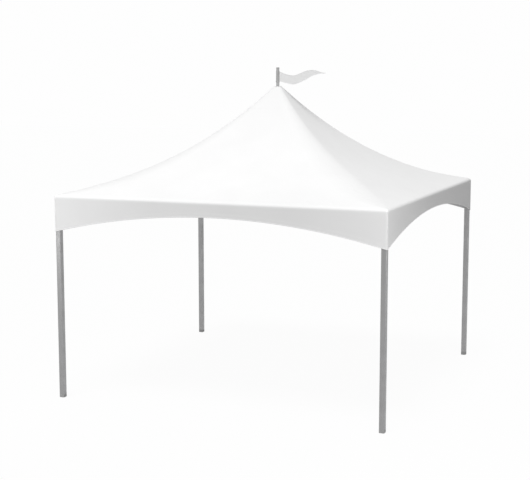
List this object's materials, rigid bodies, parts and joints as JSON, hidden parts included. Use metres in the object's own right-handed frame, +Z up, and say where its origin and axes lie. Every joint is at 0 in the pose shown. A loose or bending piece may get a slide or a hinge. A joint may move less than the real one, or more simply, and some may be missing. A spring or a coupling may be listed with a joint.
{
  "type": "marquee tent",
  "caption": "Square high-peak frame marquee: white membrane roof with arched valances on square tube legs, a cable-held centre mast and a pennant that turns on its pole.",
  "frame": {"origin": "centre of the plan on the ground, level with the undersides of the foot caps", "axes": "+Z up along the centre mast, the front looks towards -Y, +X to the right when facing the front"},
  "size_m": [4, 4, 3.865],
  "materials": {
    "membrane": "white coated membrane, satin",
    "aluminium": "mill finish extrusion",
    "cast_metal": "cast, lightly blasted",
    "steel_cable": "stranded galvanised wire rope",
    "zinc_steel": "zinc plated",
    "foot_plastic": "moulded grey",
    "pennant_cloth": "light grey woven flag cloth",
    "white_plastic": "moulded white",
    "sleeve_webbing": "grey woven webbing"
  },
  "bodies": {
    "tent": {"foot_cap_front_left": "foot_plastic", "leg_front_left": "aluminium", "corner_bracket_front_left": "cast_metal", "turnbuckle_front_left": "zinc_steel", "cable_front_left": "steel_cable", "foot_cap_front_right": "foot_plastic", "leg_front_right": "aluminium", "corner_bracket_front_right": "cast_metal", "turnbuckle_front_right": "zinc_steel", "cable_front_right": "steel_cable", "foot_cap_back_right": "foot_plastic", "leg_back_right": "aluminium", "corner_bracket_back_right": "cast_metal", "turnbuckle_back_right": "zinc_steel", "cable_back_right": "steel_cable", "foot_cap_back_left": "foot_plastic", "leg_back_left": "aluminium", "corner_bracket_back_left": "cast_metal", "turnbuckle_back_left": "zinc_steel", "cable_back_left": "steel_cable", "eave_beam_front": "aluminium", "roof_panel_front": "membrane", "valance_front_left": "membrane", "valance_front_right": "membrane", "eave_beam_right": "aluminium", "roof_panel_right": "membrane", "valance_right_front": "membrane", "valance_right_back": "membrane", "eave_beam_back": "aluminium", "roof_panel_back": "membrane", "valance_back_right": "membrane", "valance_back_left": "membrane", "eave_beam_left": "aluminium", "roof_panel_left": "membrane", "valance_left_back": "membrane", "valance_left_front": "membrane", "mast_foot_hub": "cast_metal", "centre_mast": "aluminium", "mast_head": "cast_metal", "flag_pole": "aluminium", "peak_collar": "white_plastic", "pole_cap": "cast_metal", "pennant_stop_ring": "zinc_steel"},
    "pennant": {"pennant_sleeve": "sleeve_webbing", "pennant": "pennant_cloth"}
  },
  "joints": [
    {"name": "pennant_swivel", "type": "hinge", "parent": "tent", "child": "pennant", "pos_m": [0, 0, 3.757], "axis": [0, 0, 1], "continuous": true}
  ]
}
